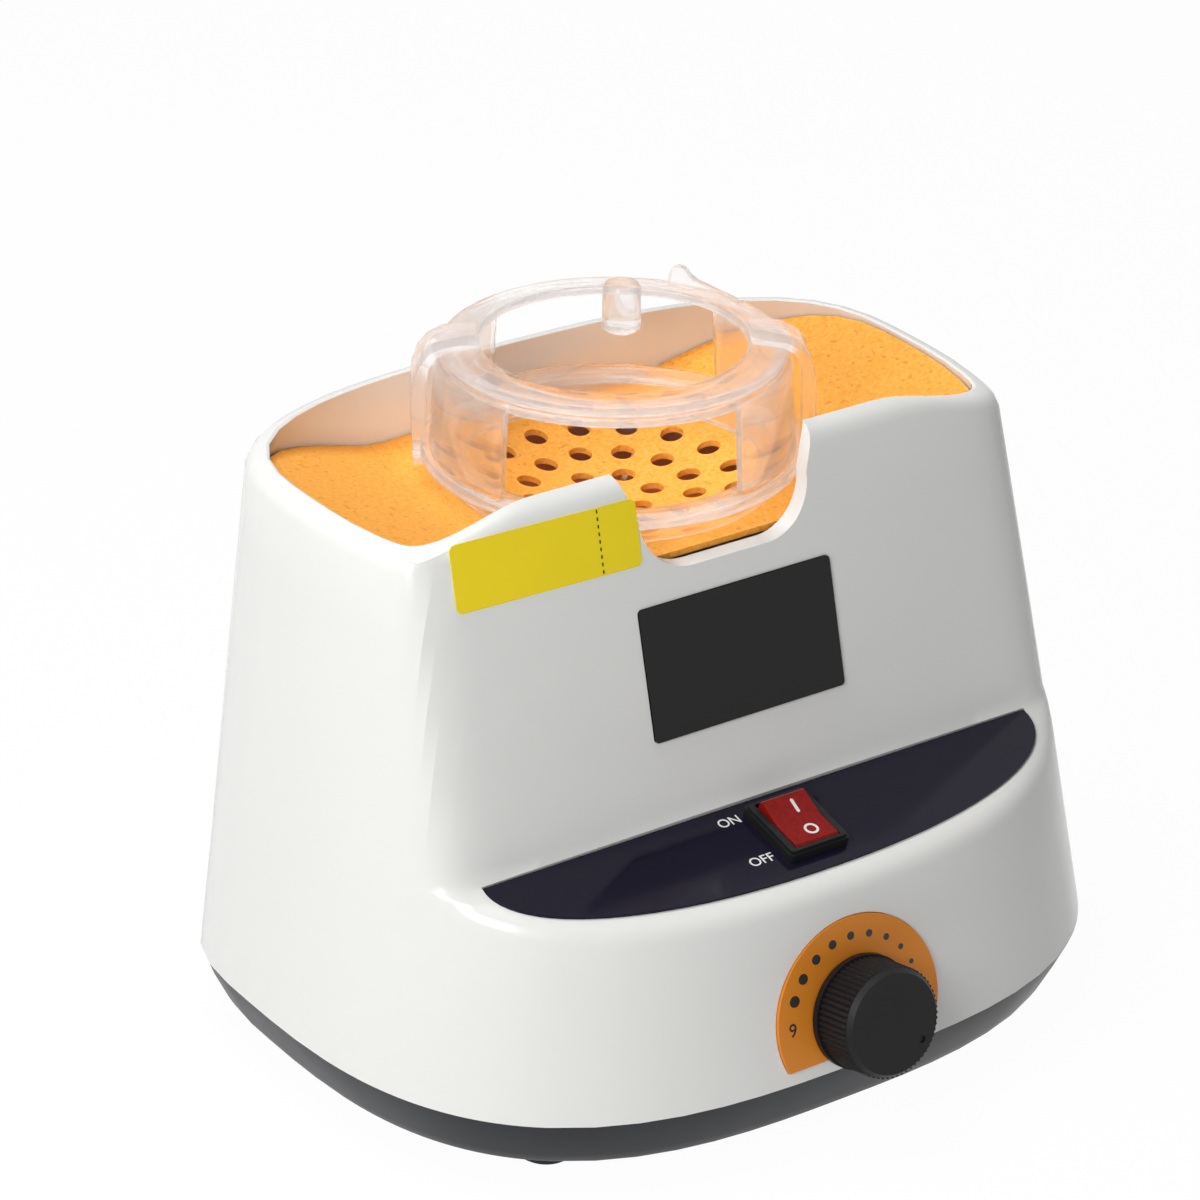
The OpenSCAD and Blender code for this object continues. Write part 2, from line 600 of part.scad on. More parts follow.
// ---- Duct, shield and heater ----
duct_top = trough_z - plate_t - 0.3;
duct_low = bracket_z + 2.2;
module air_duct() {
  color(steel) translate([0, air_y, 0]) rotate_extrude($fn = 96) polygon([
    [duct_r, duct_low], [duct_r + 5, duct_low], [duct_r + 5, duct_low + duct_t],
    [duct_r + duct_t, duct_low + duct_t], [duct_r + duct_t, duct_top], [duct_r, duct_top]]);
}
shield_r = duct_r + duct_t + 3;
module heat_shield() {
  color([0.82, 0.80, 0.74]) translate([0, air_y, 0]) rotate_extrude($fn = 96) polygon([
    [duct_r + duct_t + 0.1, duct_low + duct_t + 0.1], [shield_r, duct_low + duct_t + 0.1],
    [shield_r, shield_top], [shield_r - 0.6, shield_top], [shield_r - 0.6, duct_low + duct_t + 1],
    [duct_r + duct_t + 0.1, duct_low + duct_t + 1]]);
}
coil_pitch = 4;
coil_low = trough_z - plate_t - dish_deep - 12 - coil_turns * coil_pitch;
coil_high = coil_low + coil_turns * coil_pitch;
mica_t = 1.2;
module mica_sheet() {
  core = coil_r - coil_d / 2 - 0.2;
  reach = duct_r - 0.2;
  rotate([90, 0, 0]) translate([0, 0, -mica_t / 2]) linear_extrude(mica_t) {
    translate([-core, coil_low - 6]) square([2 * core, coil_high - coil_low + 12]);
    translate([-reach, coil_low - 10]) square([2 * reach, 5.5]);
    translate([-reach, coil_high + 4.5]) square([2 * reach, 5.5]);
  }
}
module mica_former() {
  color([0.80, 0.72, 0.52]) translate([0, air_y, 0]) for (t = [45, 135]) rotate([0, 0, t]) mica_sheet();
}
// The coil: one unbroken wire wound round the former
coil_steps = 24;
function coil_point(i) = let (a = i * 360 / coil_steps)
  [coil_r * cos(a), coil_r * sin(a), coil_low + i * coil_pitch / coil_steps];
module heater_coil() {
  sides = 6;
  last = coil_turns * coil_steps;
  echo(least_gap_between_turns = coil_pitch - coil_d);
  rings = [for (i = [0:last]) let (p = coil_point(i), a = i * 360 / coil_steps)
    [for (k = [0:sides - 1]) let (b = k * 360 / sides)
      p + coil_d / 2 * [cos(b) * cos(a), cos(b) * sin(a), sin(b)]]];
  color([0.55, 0.52, 0.50]) translate([0, air_y, 0]) tube_solid(rings);
}
module tube_solid(rings) {
  n = len(rings[0]);
  m = len(rings);
  polyhedron(points = [for (r = rings) each r],
    faces = concat([[for (i = [n - 1:-1:0]) i]],
      [for (j = [0:m - 2]) for (i = [0:n - 1]) each [
        [j * n + i, (j + 1) * n + (i + 1) % n, (j + 1) * n + i],
        [j * n + i, j * n + (i + 1) % n, (j + 1) * n + (i + 1) % n]]],
      [[for (i = [0:n - 1]) (m - 1) * n + i]]), convexity = 10);
}
cutout_z = duct_top - 10;
shield_top = cutout_z - 10;
module thermal_cutout() {
  color([0.60, 0.55, 0.48]) translate([0, air_y, cutout_z]) rotate([0, 0, 90]) difference() {
    union() {
      translate([0, duct_r, 0]) rotate([-90, 0, 0]) cylinder(h = 8, r = 6.5);
      for (x = [-4, 4]) translate([x - 0.4, duct_r + 7, -2.4]) cube([0.8, 7, 4.8]);
    }
    translate([0, 0, -10]) cylinder(h = 20, r = duct_r + duct_t + 0.05, $fn = 96);
  }
}

// ---- Fan ----
module motor_bracket() {
  color(steel) difference() {
    union() {
      translate([0, air_y, bracket_z]) linear_extrude(2) difference() {
        circle(duct_r + 5);
        circle(duct_r - 1);
      }
      for (p = post_spots) translate([p[0], p[1], bracket_z]) cylinder(h = 2, r = 5);
      for (a = post_dirs) translate([0, air_y, bracket_z]) rotate([0, 0, a]) {
        translate([duct_r - 3, -5, 0]) cube([14, 10, 2]);
        translate([10, -4, 0]) cube([duct_r - 8, 8, 2]);
      }
      translate([0, air_y, bracket_z]) cylinder(h = 2, r = 15);
    }
    translate([0, air_y, bracket_z - 5]) cylinder(h = 10, r = 5.2);
    for (p = post_spots) translate([p[0], p[1], bracket_z - 5]) cylinder(h = 10, r = 1.6);
    for (a = [0, 180]) rotate_about_air(a) translate([motor_hole, 0, bracket_z - 5]) cylinder(h = 10, r = 1.6);
  }
}
motor_hole = 9;
module rotate_about_air(a) {
  translate([0, air_y, 0]) rotate([0, 0, a]) children();
}
module bracket_screws() {
  color(steel) for (p = post_spots) translate([p[0], p[1], bracket_z + 2.05]) small_screw(9, 1.2, 2.8);
}
// Pan-head screw with its head on z = 0 and its shank going down
module small_screw(long, r, head) {
  difference() {
    union() {
      cylinder(h = 1.4, r = head);
      translate([0, 0, -long]) cylinder(h = long + 0.5, r = r);
    }
    for (t = [0, 90]) rotate([0, 0, t]) translate([-1.3, -0.3, 0.5]) cube([2.6, 0.6, 2]);
  }
}
fan_axle = 2;
motor_r = 15;
motor_low = floor_top + 9;
module fan_motor() {
  color([0.62, 0.63, 0.65]) translate([0, air_y, 0]) difference() {
    union() {
      translate([0, 0, motor_low]) cylinder(h = bracket_z - motor_low - 0.05, r = motor_r);
      translate([0, 0, bracket_z - 1]) cylinder(h = 3.4, r = 5);
      translate([0, 0, motor_low - 2]) cylinder(h = 3, r = 5);
    }
    translate([0, 0, motor_low - 0.5]) cylinder(h = 60, r = fan_axle + run_gap);
    for (a = [0, 180]) rotate([0, 0, a]) translate([motor_hole, 0, bracket_z - 8]) cylinder(h = 20, r = 1.3);
    for (a = [30:60:330]) rotate([0, 0, a]) translate([motor_r - 0.8, -3, motor_low + 4]) cube([5, 6, 10]);
  }
}
module motor_screws() {
  color(steel) for (a = [0, 180]) rotate_about_air(a) translate([motor_hole, 0, bracket_z + 2.05])
    small_screw(6, 1.25, 2.4);
}
fan_low = bracket_z + 5;
fan_h = 12;
module fan_shaft() {
  color(steel) translate([0, air_y, motor_low]) cylinder(h = fan_low + fan_h - 1.5 - motor_low, r = fan_axle);
}
// Cambered blade: a strip of a ring, leaned over
module blade() {
  intersection() {
    translate([0, 0, fan_low]) difference() {
      cylinder(h = fan_h, r = fan_r);
      translate([0, 0, -1]) cylinder(h = fan_h + 2, r = 7);
    }
    translate([0, 0, fan_low + fan_h / 2]) rotate([0, 90, 0]) translate([0, 0, 6])
      rotate([0, 0, 52]) translate([0, -10, 0]) linear_extrude(fan_r) difference() {
        circle(17.4, $fn = 96);
        circle(16, $fn = 96);
        translate([-30, -60]) square([60, 62]);
        translate([-30, -30]) square([21, 60]);
        translate([9, -30]) square([21, 60]);
      }
  }
}
module fan_impeller() {
  color([0.85, 0.86, 0.84]) translate([0, air_y, 0]) difference() {
    union() {
      translate([0, 0, fan_low]) cylinder(h = fan_h, r = 8);
      for (i = [0:fan_blades - 1]) rotate([0, 0, i * 360 / fan_blades]) blade();
    }
    translate([0, 0, fan_low - 1]) cylinder(h = fan_h - 0.2, r = fan_axle + 0.02);
  }
}

// ---- Control board, terminals and cord inlet ----
module control_board() {
  color([0.10, 0.35, 0.20]) difference() {
    union() {
      translate([board_x - board_w / 2, board_y - board_l / 2, board_z + 0.05]) cube([board_w, board_l, 1.6]);
      translate([board_x + 16, board_y + 1, board_z + 1]) cylinder(h = 14, r = 6);
      translate([board_x - 12, board_y - 10, board_z + 1]) cube([16, 8, 12]);
      translate([board_x + 6, board_y + 8, board_z + 1]) cylinder(h = 8, r = 3);
    }
    for (p = board_posts) translate([p[0], p[1], board_z - 5]) cylinder(h = 10, r = 1.6);
  }
}
module board_heatsink() {
  color(steel) translate([board_x - 21, board_y + 5, board_z + 1.7]) {
    cube([24, 2, 20]);
    for (x = [0:4:24]) translate([min(x, 22.8), -4, 0]) cube([1.2, 4.5, 20]);
  }
}
module board_screws() {
  color(steel) for (p = board_posts) translate([p[0], p[1], board_z + 1.7]) small_screw(5, 1, 2);
}
module terminal_block() {
  color([0.90, 0.90, 0.86]) translate([-14, terminal_y - 8, floor_top + terminal_pad + 0.05]) difference() {
    cube([28, 11, 9]);
    for (x = [4.5, 14, 23.5]) {
      translate([x, -1, 4]) rotate([-90, 0, 0]) cylinder(h = 20, r = 2, $fn = 32);
      translate([x, 5.5, 5]) cylinder(h = 10, r = 1.8, $fn = 32);
    }
    for (x = [9.2, 18.8]) translate([x - 0.6, -1, 6]) cube([1.2, 20, 8]);
  }
}
cord_hole_r = 3.7;
gland_out = 8.1;
module cable_gland() {
  color([0.07, 0.07, 0.07]) on_back() difference() {
    union() {
      translate([0, 0, -wall - 7]) cylinder(h = wall + 8, r = gland_r);
      cylinder(h = 2.5, r = gland_r + 2.5);
      translate([0, 0, 2]) cylinder(h = gland_out - 2, r1 = gland_r, r2 = gland_r - 1.4);
    }
    translate([0, 0, -wall - 10]) cylinder(h = 40, r = cord_hole_r);
  }
}
module gland_nut() {
  color([0.10, 0.10, 0.10]) on_back() translate([0, 0, -wall - 5.2]) difference() {
    cylinder(h = 5, r = 10, $fn = 6);
    translate([0, 0, -1]) cylinder(h = 8, r = gland_r + 0.05);
  }
}

// ---- Clear hood and its shutter ring ----
flange_t = 2.6;
skirt_r = hood_r - 3.9;
ring_r = hood_r - hood_t - 0.4;
window_half = 42;
ear_w = 13;
ear_t = 2.8;
ear_out = flange_r + 1;
ear_top = 159.5;
seat_r = hood_r - hood_t - 5.4;
module sector(half, r) {
  polygon(concat([[0, 0]], [for (i = [-4:4]) r * [cos(i * half / 4), sin(i * half / 4)]]));
}
module ear_side() {
  bow = 8;
  translate([hood_r - 0.5, flange_z]) square([ear_out - hood_r + 0.5, flange_t]);
  translate([ear_out - ear_t, flange_z]) square([ear_t, ear_top - bow - flange_z]);
  intersection() {
    translate([ear_out - bow, ear_top - bow]) difference() {
      circle(bow, $fn = 64);
      circle(bow - ear_t, $fn = 64);
    }
    translate([ear_out - bow, ear_top - bow]) square(bow + 1);
  }
  translate([ring_hole_r + 2, ear_top - ear_t]) square([ear_out - bow - ring_hole_r - 2, ear_t]);
}
module hood_body() {
  color(clear) translate([0, air_y, 0]) rotate([0, 0, hood_turn]) difference() {
    union() {
      rotate_extrude($fn = 128) polygon([[skirt_r - 2, trough_z + 0.3], [skirt_r, trough_z + 0.7],
        [skirt_r, flange_z], [flange_r, flange_z], [flange_r, flange_z + flange_t - 0.6],
        [flange_r - 0.6, flange_z + flange_t], [hood_r, flange_z + flange_t], [hood_r, hood_top],
        [hood_r - hood_t, hood_top], [hood_r - hood_t, hood_top - 3.2], [seat_r, hood_top - 3.2],
        [seat_r, hood_top - 5], [hood_r - hood_t, hood_top - 5], [hood_r - hood_t, flange_z + flange_t],
        [skirt_r - 2, flange_z + flange_t]]);
      for (t = [0, 180]) rotate([0, 0, t]) translate([0, ear_w / 2, 0]) rotate([90, 0, 0])
        linear_extrude(ear_w) ear_side();
    }
    for (t = [-90, 90]) rotate([0, 0, t]) translate([0, 0, flange_z + flange_t + 1])
      linear_extrude(hood_top - 5 - flange_z - flange_t - 2) sector(window_half, 60);
  }
}
tab_dir = 66;
ring_low = hood_top - 3;
ring_t = 3.4;
module shutter_ring() {
  color(clear) translate([0, air_y, 0]) rotate([0, 0, hood_turn]) {
    rotate_extrude($fn = 128) polygon([[ring_hole_r, ring_low + ring_t + 2.6], [ring_hole_r + 2, ring_low + ring_t + 3],
      [ring_r, ring_low + ring_t], [ring_r, ring_low], [ring_r - 3, ring_low], [ring_hole_r + 1.6, ring_low + ring_t + 0.6],
      [ring_hole_r, ring_low + ring_t + 0.6]]);
    rotate([0, 0, tab_dir]) translate([ring_r - 5, -5, ring_low + ring_t - 0.2]) cube([3, 10, 11]);
    rotate([0, 0, tab_dir + 26]) translate([ring_r - 8, 0, ring_low + ring_t - 0.4]) cylinder(h = 5, r = 4.5);
  }
}

housing_shell();
base_tray();
rubber_feet();
base_screws();
ledge_panel();
front_plaque();
dial_plate();
switch_body();
switch_rocker();
switch_lamp();
switch_terminals();
dimmer_body();
dimmer_washer();
dimmer_nut();
dimmer_shaft();
knob();
top_plate();
air_duct();
heat_shield();
mica_former();
heater_coil();
thermal_cutout();
motor_bracket();
bracket_screws();
fan_motor();
motor_screws();
fan_shaft();
fan_impeller();
control_board();
board_heatsink();
board_screws();
terminal_block();
cable_gland();
gland_nut();
hood_body();
shutter_ring();
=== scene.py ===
# %% [markdown]
# # An eyeglass frame warmer
#
# This is a shop counter device: a fan in a plastic case blows air through a heater and up through
# holes in an orange plate, and a small clear hood keeps the warm air together above them.
# The construction arrives as a finished frame of solids at their real size. Here each solid gets its
# finish, and the thin things that are printed, stuck or moulded on it are modelled.

# %% Load the frame
import json
import math

import bmesh
import bpy
from mathutils import Matrix, Vector


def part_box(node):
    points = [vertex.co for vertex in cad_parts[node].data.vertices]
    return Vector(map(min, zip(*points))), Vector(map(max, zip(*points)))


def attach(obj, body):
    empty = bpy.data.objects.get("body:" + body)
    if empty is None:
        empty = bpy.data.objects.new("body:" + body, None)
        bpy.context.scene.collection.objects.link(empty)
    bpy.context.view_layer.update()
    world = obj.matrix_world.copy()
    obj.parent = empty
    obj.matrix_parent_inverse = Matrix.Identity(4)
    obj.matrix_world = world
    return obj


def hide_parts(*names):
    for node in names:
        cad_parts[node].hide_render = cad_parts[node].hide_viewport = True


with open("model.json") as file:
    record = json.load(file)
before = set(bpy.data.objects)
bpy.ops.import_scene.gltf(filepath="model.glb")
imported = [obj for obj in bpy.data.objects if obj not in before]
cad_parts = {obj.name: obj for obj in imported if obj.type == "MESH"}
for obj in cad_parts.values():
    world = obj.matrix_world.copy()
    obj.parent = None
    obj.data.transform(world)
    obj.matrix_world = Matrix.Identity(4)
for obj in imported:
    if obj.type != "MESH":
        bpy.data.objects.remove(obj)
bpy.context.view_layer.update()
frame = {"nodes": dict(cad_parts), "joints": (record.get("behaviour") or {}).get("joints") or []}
nodes = frame["nodes"]
MM = 0.001
joints = {joint["name"]: joint for joint in frame["joints"]}
hood_axis = Vector(joints["shutter_turn"]["pos_m"])
print("solids loaded:", len(nodes))

# %% [markdown]
# ## The camera
#
# The picture was taken with a long lens from the front left, looking down a little. A camera's own
# axes are its right, its up and its back, so the place is a walk along "back" from the point that it
# looks at, and the three axes are the columns of its matrix. A small roll tips right and up together.

# %% Camera
CAMERA_TURN = math.radians(-34.8)
CAMERA_RISE = math.radians(26.5)
CAMERA_ROLL = math.radians(0.7)
CAMERA_DISTANCE = 1.0446
CAMERA_AIM = Vector((-0.0023, hood_axis.y + 0.0009, 0.0896))
SENSOR = 36.0
LENS = 133.5


def camera_axes(turn, rise, roll):
    """The camera's right, up and back, for a view from `turn` round the object and `rise` above it."""
    back = Vector((math.sin(turn) * math.cos(rise), -math.cos(turn) * math.cos(rise), math.sin(rise)))
    level = Vector((math.cos(turn), math.sin(turn), 0))
    upright = back.cross(level)
    right = math.cos(roll) * level + math.sin(roll) * upright
    return right, back.cross(right), back


camera_data = bpy.data.cameras.new("camera")
camera_data.sensor_width = SENSOR
camera_data.lens = LENS
camera = bpy.data.objects.new("camera", camera_data)
bpy.context.scene.collection.objects.link(camera)
right, up, back = camera_axes(CAMERA_TURN, CAMERA_RISE, CAMERA_ROLL)
turned = Matrix((right, up, back)).transposed().to_4x4()
camera.matrix_world = Matrix.Translation(CAMERA_AIM + back * CAMERA_DISTANCE) @ turned
bpy.context.scene.camera = camera
print("camera at", [round(v, 3) for v in camera.matrix_world.translation])

# %% [markdown]
# ## Shader maths in plain Python
#
# A finish is a small program of nodes. Written out link by link it is hard to read, so `Value` wraps
# one output and overloads +, - and *: `0.2 + 0.1 * grain` then adds the two Math nodes by itself.
# `Finish.node` is the only place that makes a node; everything else is built from it.

# %% Value and Finish
class Value:
    """One output in a finish's node tree, on which arithmetic adds Math nodes."""

    def __init__(self, finish, socket):
        self.finish = finish
        self.socket = socket

    def maths(self, operation, *values):
        return self.finish.node("ShaderNodeMath", {"operation": operation}, dict(enumerate(values)))

    def __add__(self, other):
        return self.maths("ADD", self, other)

    def __radd__(self, other):
        return self.maths("ADD", other, self)

    def __sub__(self, other):
        return self.maths("SUBTRACT", self, other)

    def __rsub__(self, other):
        return self.maths("SUBTRACT", other, self)

    def __mul__(self, other):
        return self.maths("MULTIPLY", self, other)

    def __rmul__(self, other):
        return self.maths("MULTIPLY", other, self)

    def between(self, low, high):
        """0 below `low`, 1 above `high`, and a smooth step from one to the other."""
        sockets = {"Value": self, "From Min": low, "From Max": high}
        return self.finish.node("ShaderNodeMapRange", {"interpolation_type": "SMOOTHSTEP"}, sockets)


class Finish:
    """A material and its node tree, with one method that makes every node."""

    def __init__(self, name):
        self.material = bpy.data.materials.new(name)
        self.material.use_nodes = True
        self.tree = self.material.node_tree
        self.tree.nodes.clear()
        self.place = self.node("ShaderNodeTexCoord", output="Object")

    def node(self, kind, settings=None, sockets=None, output=0):
        made = self.tree.nodes.new(kind)
        for name, value in (settings or {}).items():
            setattr(made, name, value)
        for name, value in (sockets or {}).items():
            if isinstance(value, Value):
                self.tree.links.new(value.socket, made.inputs[name])
            else:
                made.inputs[name].default_value = value
        return Value(self, made.outputs[output]) if made.outputs else None

    def noise(self, size_mm, detail=2.0, stretch=(1, 1, 1)):
        """Noise from 0 to 1, whose blotches are about `size_mm` across."""
        place = self.node("ShaderNodeVectorMath", {"operation": "MULTIPLY"}, {0: self.place, 1: stretch})
        sockets = {"Vector": place, "Scale": 1 / (size_mm * MM), "Detail": detail}
        return self.node("ShaderNodeTexNoise", None, sockets)

    def mix(self, mask, first, second):
        """Colour `first` where the mask is 0, and `second` where it is 1."""
        shown = [c if isinstance(c, Value) else (*c, 1.0) for c in (first, second)]
        sockets = {0: mask, 6: shown[0], 7: shown[1]}
        return self.node("ShaderNodeMix", {"data_type": "RGBA"}, sockets, output=2)

    def bump(self, height, depth_mm, strength=1.0):
        sockets = {"Height": height, "Distance": depth_mm * MM, "Strength": strength}
        return self.node("ShaderNodeBump", None, sockets)

    def surface(self, **named):
        """Closes the tree with a Principled surface. Base_Color stands for the socket "Base Color"."""
        sockets = {}
        for name, value in named.items():
            plain_colour = name.endswith("Color") and not isinstance(value, Value)
            sockets[name.replace("_", " ")] = (*value, 1.0) if plain_colour else value
        shader = self.node("ShaderNodeBsdfPrincipled", None, sockets)
        self.node("ShaderNodeOutputMaterial", None, {"Surface": shader})
        return self.material

# %% [markdown]
# ## Floor, light and background
#
# The object stands on a plain white sweep. A white floor that is only lit never quite reaches white,
# and more light would wash out the case, so for the camera, and in reflections and through clear
# plastic, part of the floor's white is its own. The rest is lit, and keeps the object's shadow.

# %% Floor and world
FLOOR_GLOW = 0.97
FLOOR_WIDTH = 8.0
WORLD_FILL = 0.12


def seen_directly(finish):
    """1 for what the camera, a reflection or clear plastic sees, 0 for the light that falls on things."""
    seen = finish.node("ShaderNodeLightPath", output="Is Camera Ray")
    for ray in ("Is Glossy Ray", "Is Transmission Ray"):
        seen = seen.maths("MAXIMUM", seen, finish.node("ShaderNodeLightPath", output=ray))
    return seen


def floor_finish():
    finish = Finish("white_sweep")
    lit = finish.node("ShaderNodeBsdfDiffuse", None, {"Color": (0.9, 0.9, 0.9, 1)})
    glow = finish.node("ShaderNodeEmission", None, {"Color": (1, 1, 1, 1), "Strength": 1.0})
    share = FLOOR_GLOW * seen_directly(finish)
    shader = finish.node("ShaderNodeMixShader", None, {0: share, 1: lit, 2: glow})
    finish.node("ShaderNodeOutputMaterial", None, {"Surface": shader})
    return finish.material


floor_mesh = bpy.data.meshes.new("floor")
half = FLOOR_WIDTH / 2
corners = [(-half, -half, 0), (half, -half, 0), (half, half, 0), (-half, half, 0)]
floor_mesh.from_pydata(corners, [], [(0, 1, 2, 3)])
floor_mesh.materials.append(floor_finish())
floor = bpy.data.objects.new("floor", floor_mesh)
bpy.context.scene.collection.objects.link(floor)


class World(Finish):
    """The same way of making nodes, in the world's tree."""

    def __init__(self):
        world = bpy.data.worlds.new("studio")
        world.use_nodes = True
        bpy.context.scene.world = world
        self.tree = world.node_tree
        self.tree.nodes.clear()


studio = World()
strength = WORLD_FILL + (1 - WORLD_FILL) * seen_directly(studio)
sky = studio.node("ShaderNodeBackground", None, {"Color": (1, 1, 1, 1), "Strength": strength})
studio.node("ShaderNodeOutputWorld", None, {"Surface": sky})

# %% Lamps
# Each lamp: where it stands, its width, its power in watts. All look at the middle of the case.
LAMPS = {
    "key_left": ((-0.52, -0.28, 0.43), 0.34, 2.5),
    "top": ((-0.22, 0.32, 1.15), 0.7, 9.6),
    "front_fill": ((-0.55, -1.2, 0.45), 0.6, 0.3),
}
LAMP_AIM = Vector((0, 0, 0.08))

for name, (place, width, power) in LAMPS.items():
    lamp_data = bpy.data.lights.new(name, "AREA")
    lamp_data.size = width
    lamp_data.energy = power
    lamp = bpy.data.objects.new(name, lamp_data)
    lamp.location = place
    lamp.rotation_euler = (LAMP_AIM - Vector(place)).to_track_quat("-Z", "Y").to_euler()
    bpy.context.scene.collection.objects.link(lamp)
print("lamps:", ", ".join(LAMPS))

# %% [markdown]
# ## Moulded plastics
#
# Injection-moulded plastic is never a mirror. Under a lamp its gloss wavers a little, which is called
# orange peel, and a textured tool leaves a fine grain. Both are bumps, far finer than the shape. The
# colour barely varies, but where it varies it follows the flow of the plastic, in broad soft clouds.

# %% Moulded plastics
def moulded(name, colour, gloss, peel_mm=3.0, peel_depth=0.004, cloud=0.03, coat=0.0, shine=0.5):
    """Plastic from a polished tool: soft clouds in the colour, a slow waver in the gloss."""
    finish = Finish(name)
    clouds = finish.noise(40, detail=3)
    darker = [c * (1 - cloud) for c in colour]
    lighter = [min(1.0, c * (1 + cloud)) for c in colour]
    peel = finish.noise(peel_mm, detail=1)
    return finish.surface(
        Base_Color=finish.mix(clouds, darker, lighter),
        Roughness=gloss + 0.05 * (finish.noise(12) - 0.5),
        Normal=finish.bump(peel, peel_depth),
        Specular_IOR_Level=shine,
        Coat_Weight=coat,
        Coat_Roughness=0.08,
    )


def textured(name, colour, rough, grain_mm=0.5, grain_depth=0.03, cloud=0.08, shine=0.3):
    """Plastic from an etched tool: a fine even grain that spreads the light."""
    finish = Finish(name)
    grain = finish.noise(grain_mm, detail=3)
    worn = finish.noise(25).between(0.35, 0.7)
    darker = [c * (1 - cloud) for c in colour]
    lighter = [c * (1 + cloud) for c in colour]
    return finish.surface(
        Base_Color=finish.mix(grain, darker, lighter),
        Roughness=rough - 0.06 * worn,
        Specular_IOR_Level=shine,
        Normal=finish.bump(grain, grain_depth, 0.8),
    )


# %% [markdown]
# ## The orange plate
#
# The plate is coated, with a sandy surface: close up it has pale grains, deeper patches and small pits
# on a warm orange. A fine noise gives the grains, a coarser one the patches, and a third, sharply cut
# off, gives scattered pits. The same noises drive colour and bump, so each pit is dark and hollow.

# %% Sandy orange
def sandy(name, colour, deep, pale):
    """Coated sheet with pale grains, deeper patches and pits."""
    finish = Finish(name)
    sand = finish.noise(0.9, detail=4)
    patches = finish.noise(2.6, detail=3)
    pits = finish.noise(1.5, detail=2).between(0.60, 0.72)
    ground = finish.mix(sand.between(0.35, 0.65), colour, pale)
    shaded = finish.mix(pits * 0.45, ground, deep)
    height = sand * 0.5 + patches * 0.5 - pits
    return finish.surface(
        Base_Color=finish.mix(patches.between(0.62, 0.75) * 0.4, shaded, deep),
        Roughness=0.72 + 0.15 * (sand - 0.5),
        Specular_IOR_Level=0.2,
        Normal=finish.bump(height, 0.16, 0.55),
    )


# %% [markdown]
# ## Metals, board and wire
#
# Sheet and turned metal shows the direction it was worked in. Stretching the noise along one axis
# makes brush marks. Heat leaves straw and grey stains on the heater wire, in bands along its length,
# and the wire has a painted dull red glow, which shows as a brown light in the air holes.

# %% Metals
# Strength of the heater wire's painted dull red glow.
HEATER_GLOW = 0.7


def brushed(name, colour, rough, along=(1, 1, 0.08), line_mm=0.35):
    finish = Finish(name)
    lines = finish.noise(line_mm, detail=2, stretch=along)
    smudge = finish.noise(18, detail=2)
    return finish.surface(
        Base_Color=finish.mix(lines * 0.5 + smudge * 0.5, [0.86 * c for c in colour], colour),
        Metallic=1.0,
        Roughness=rough + 0.12 * (lines - 0.5) + 0.08 * (smudge - 0.5),
        Normal=finish.bump(lines, 0.008, 0.5),
    )


def stained_with_painted_glow(name):
    finish = Finish(name)
    band = finish.noise(9, detail=1, stretch=(1, 1, 0.5)).between(0.35, 0.65)
    return finish.surface(
        Base_Color=finish.mix(band, (0.30, 0.26, 0.25), (0.38, 0.30, 0.20)),
        Metallic=1.0,
        Roughness=0.42 + 0.2 * (finish.noise(1.2) - 0.5),
        Normal=finish.bump(finish.noise(0.5, detail=1), 0.05),
        # Painted glow: a dull red emission on the wire, which lights the air holes brown.
        Emission_Color=(1.0, 0.16, 0.02),
        Emission_Strength=HEATER_GLOW,
    )


def pearly_mica(name):
    finish = Finish(name)
    flakes = finish.node("ShaderNodeTexVoronoi", None, {"Vector": finish.place, "Scale": 260.0})
    return finish.surface(
        Base_Color=finish.mix(flakes * 1.2, (0.52, 0.44, 0.28), (0.72, 0.64, 0.46)),
        Roughness=0.28 + 0.3 * flakes,
        Coat_Weight=0.4,
    )


def solder_masked(name):
    """Green board with its copper tracks showing through as slightly paler lines."""
    finish = Finish(name)
    tracks = finish.node("ShaderNodeTexBrick", {"offset": 0.37}, {
        "Vector": finish.place, "Scale": 90.0, "Mortar Size": 0.03, "Mortar Smooth": 0.2}, output=1)
    return finish.surface(
        Base_Color=finish.mix(tracks, (0.012, 0.10, 0.035), (0.03, 0.20, 0.07)),
        Roughness=0.3 + 0.1 * finish.noise(2),
        Normal=finish.bump(tracks, 0.04, 0.6),
    )


# %% [markdown]
# ## Clear hood, red rocker and lamp
#
# The hood is clear acrylic. What makes clear plastic visible is its edges and bends, so its walls have
# their real thickness and the light finds the edges by itself. Its gloss has a faint haze from use.
# The rocker is tinted clear plastic over a neon lamp: part of the light goes through, and part comes
# back red from the frosted inside.

# %% Clear and tinted plastics
def clear_plastic(name, tint, haze):
    finish = Finish(name)
    film = finish.noise(7, detail=3).between(0.4, 0.8)
    return finish.surface(
        Base_Color=finish.mix(film, tint, [0.985 * c for c in tint]),
        Roughness=haze + 0.03 * film,
        Normal=finish.bump(finish.noise(9, detail=1), 0.03, 0.4),
        Transmission_Weight=0.9,
        IOR=1.33,
        Alpha=0.66,
    )


def tinted_plastic(name, colour, through, haze):
    finish = Finish(name)
    frost = finish.noise(1.1, detail=3)
    return finish.surface(
        Base_Color=finish.mix(frost.between(0.3, 0.7), [0.7 * c for c in colour], colour),
        Roughness=haze + 0.08 * frost,
        Specular_IOR_Level=0.15,
        Normal=finish.bump(frost, 0.02, 0.4),
        Transmission_Weight=through,
        IOR=1.49,
    )


# %% One finish for each solid
WHITE = (0.80, 0.797, 0.775)
BASE_GREY = (0.017, 0.019, 0.024)
BLACK = (0.010, 0.011, 0.011)
ORANGE = (1.0, 0.385, 0.042)
ORANGE_DEEP = (0.60, 0.17, 0.022)
ORANGE_PALE = (1.0, 0.48, 0.095)
STEEL = (0.62, 0.62, 0.61)

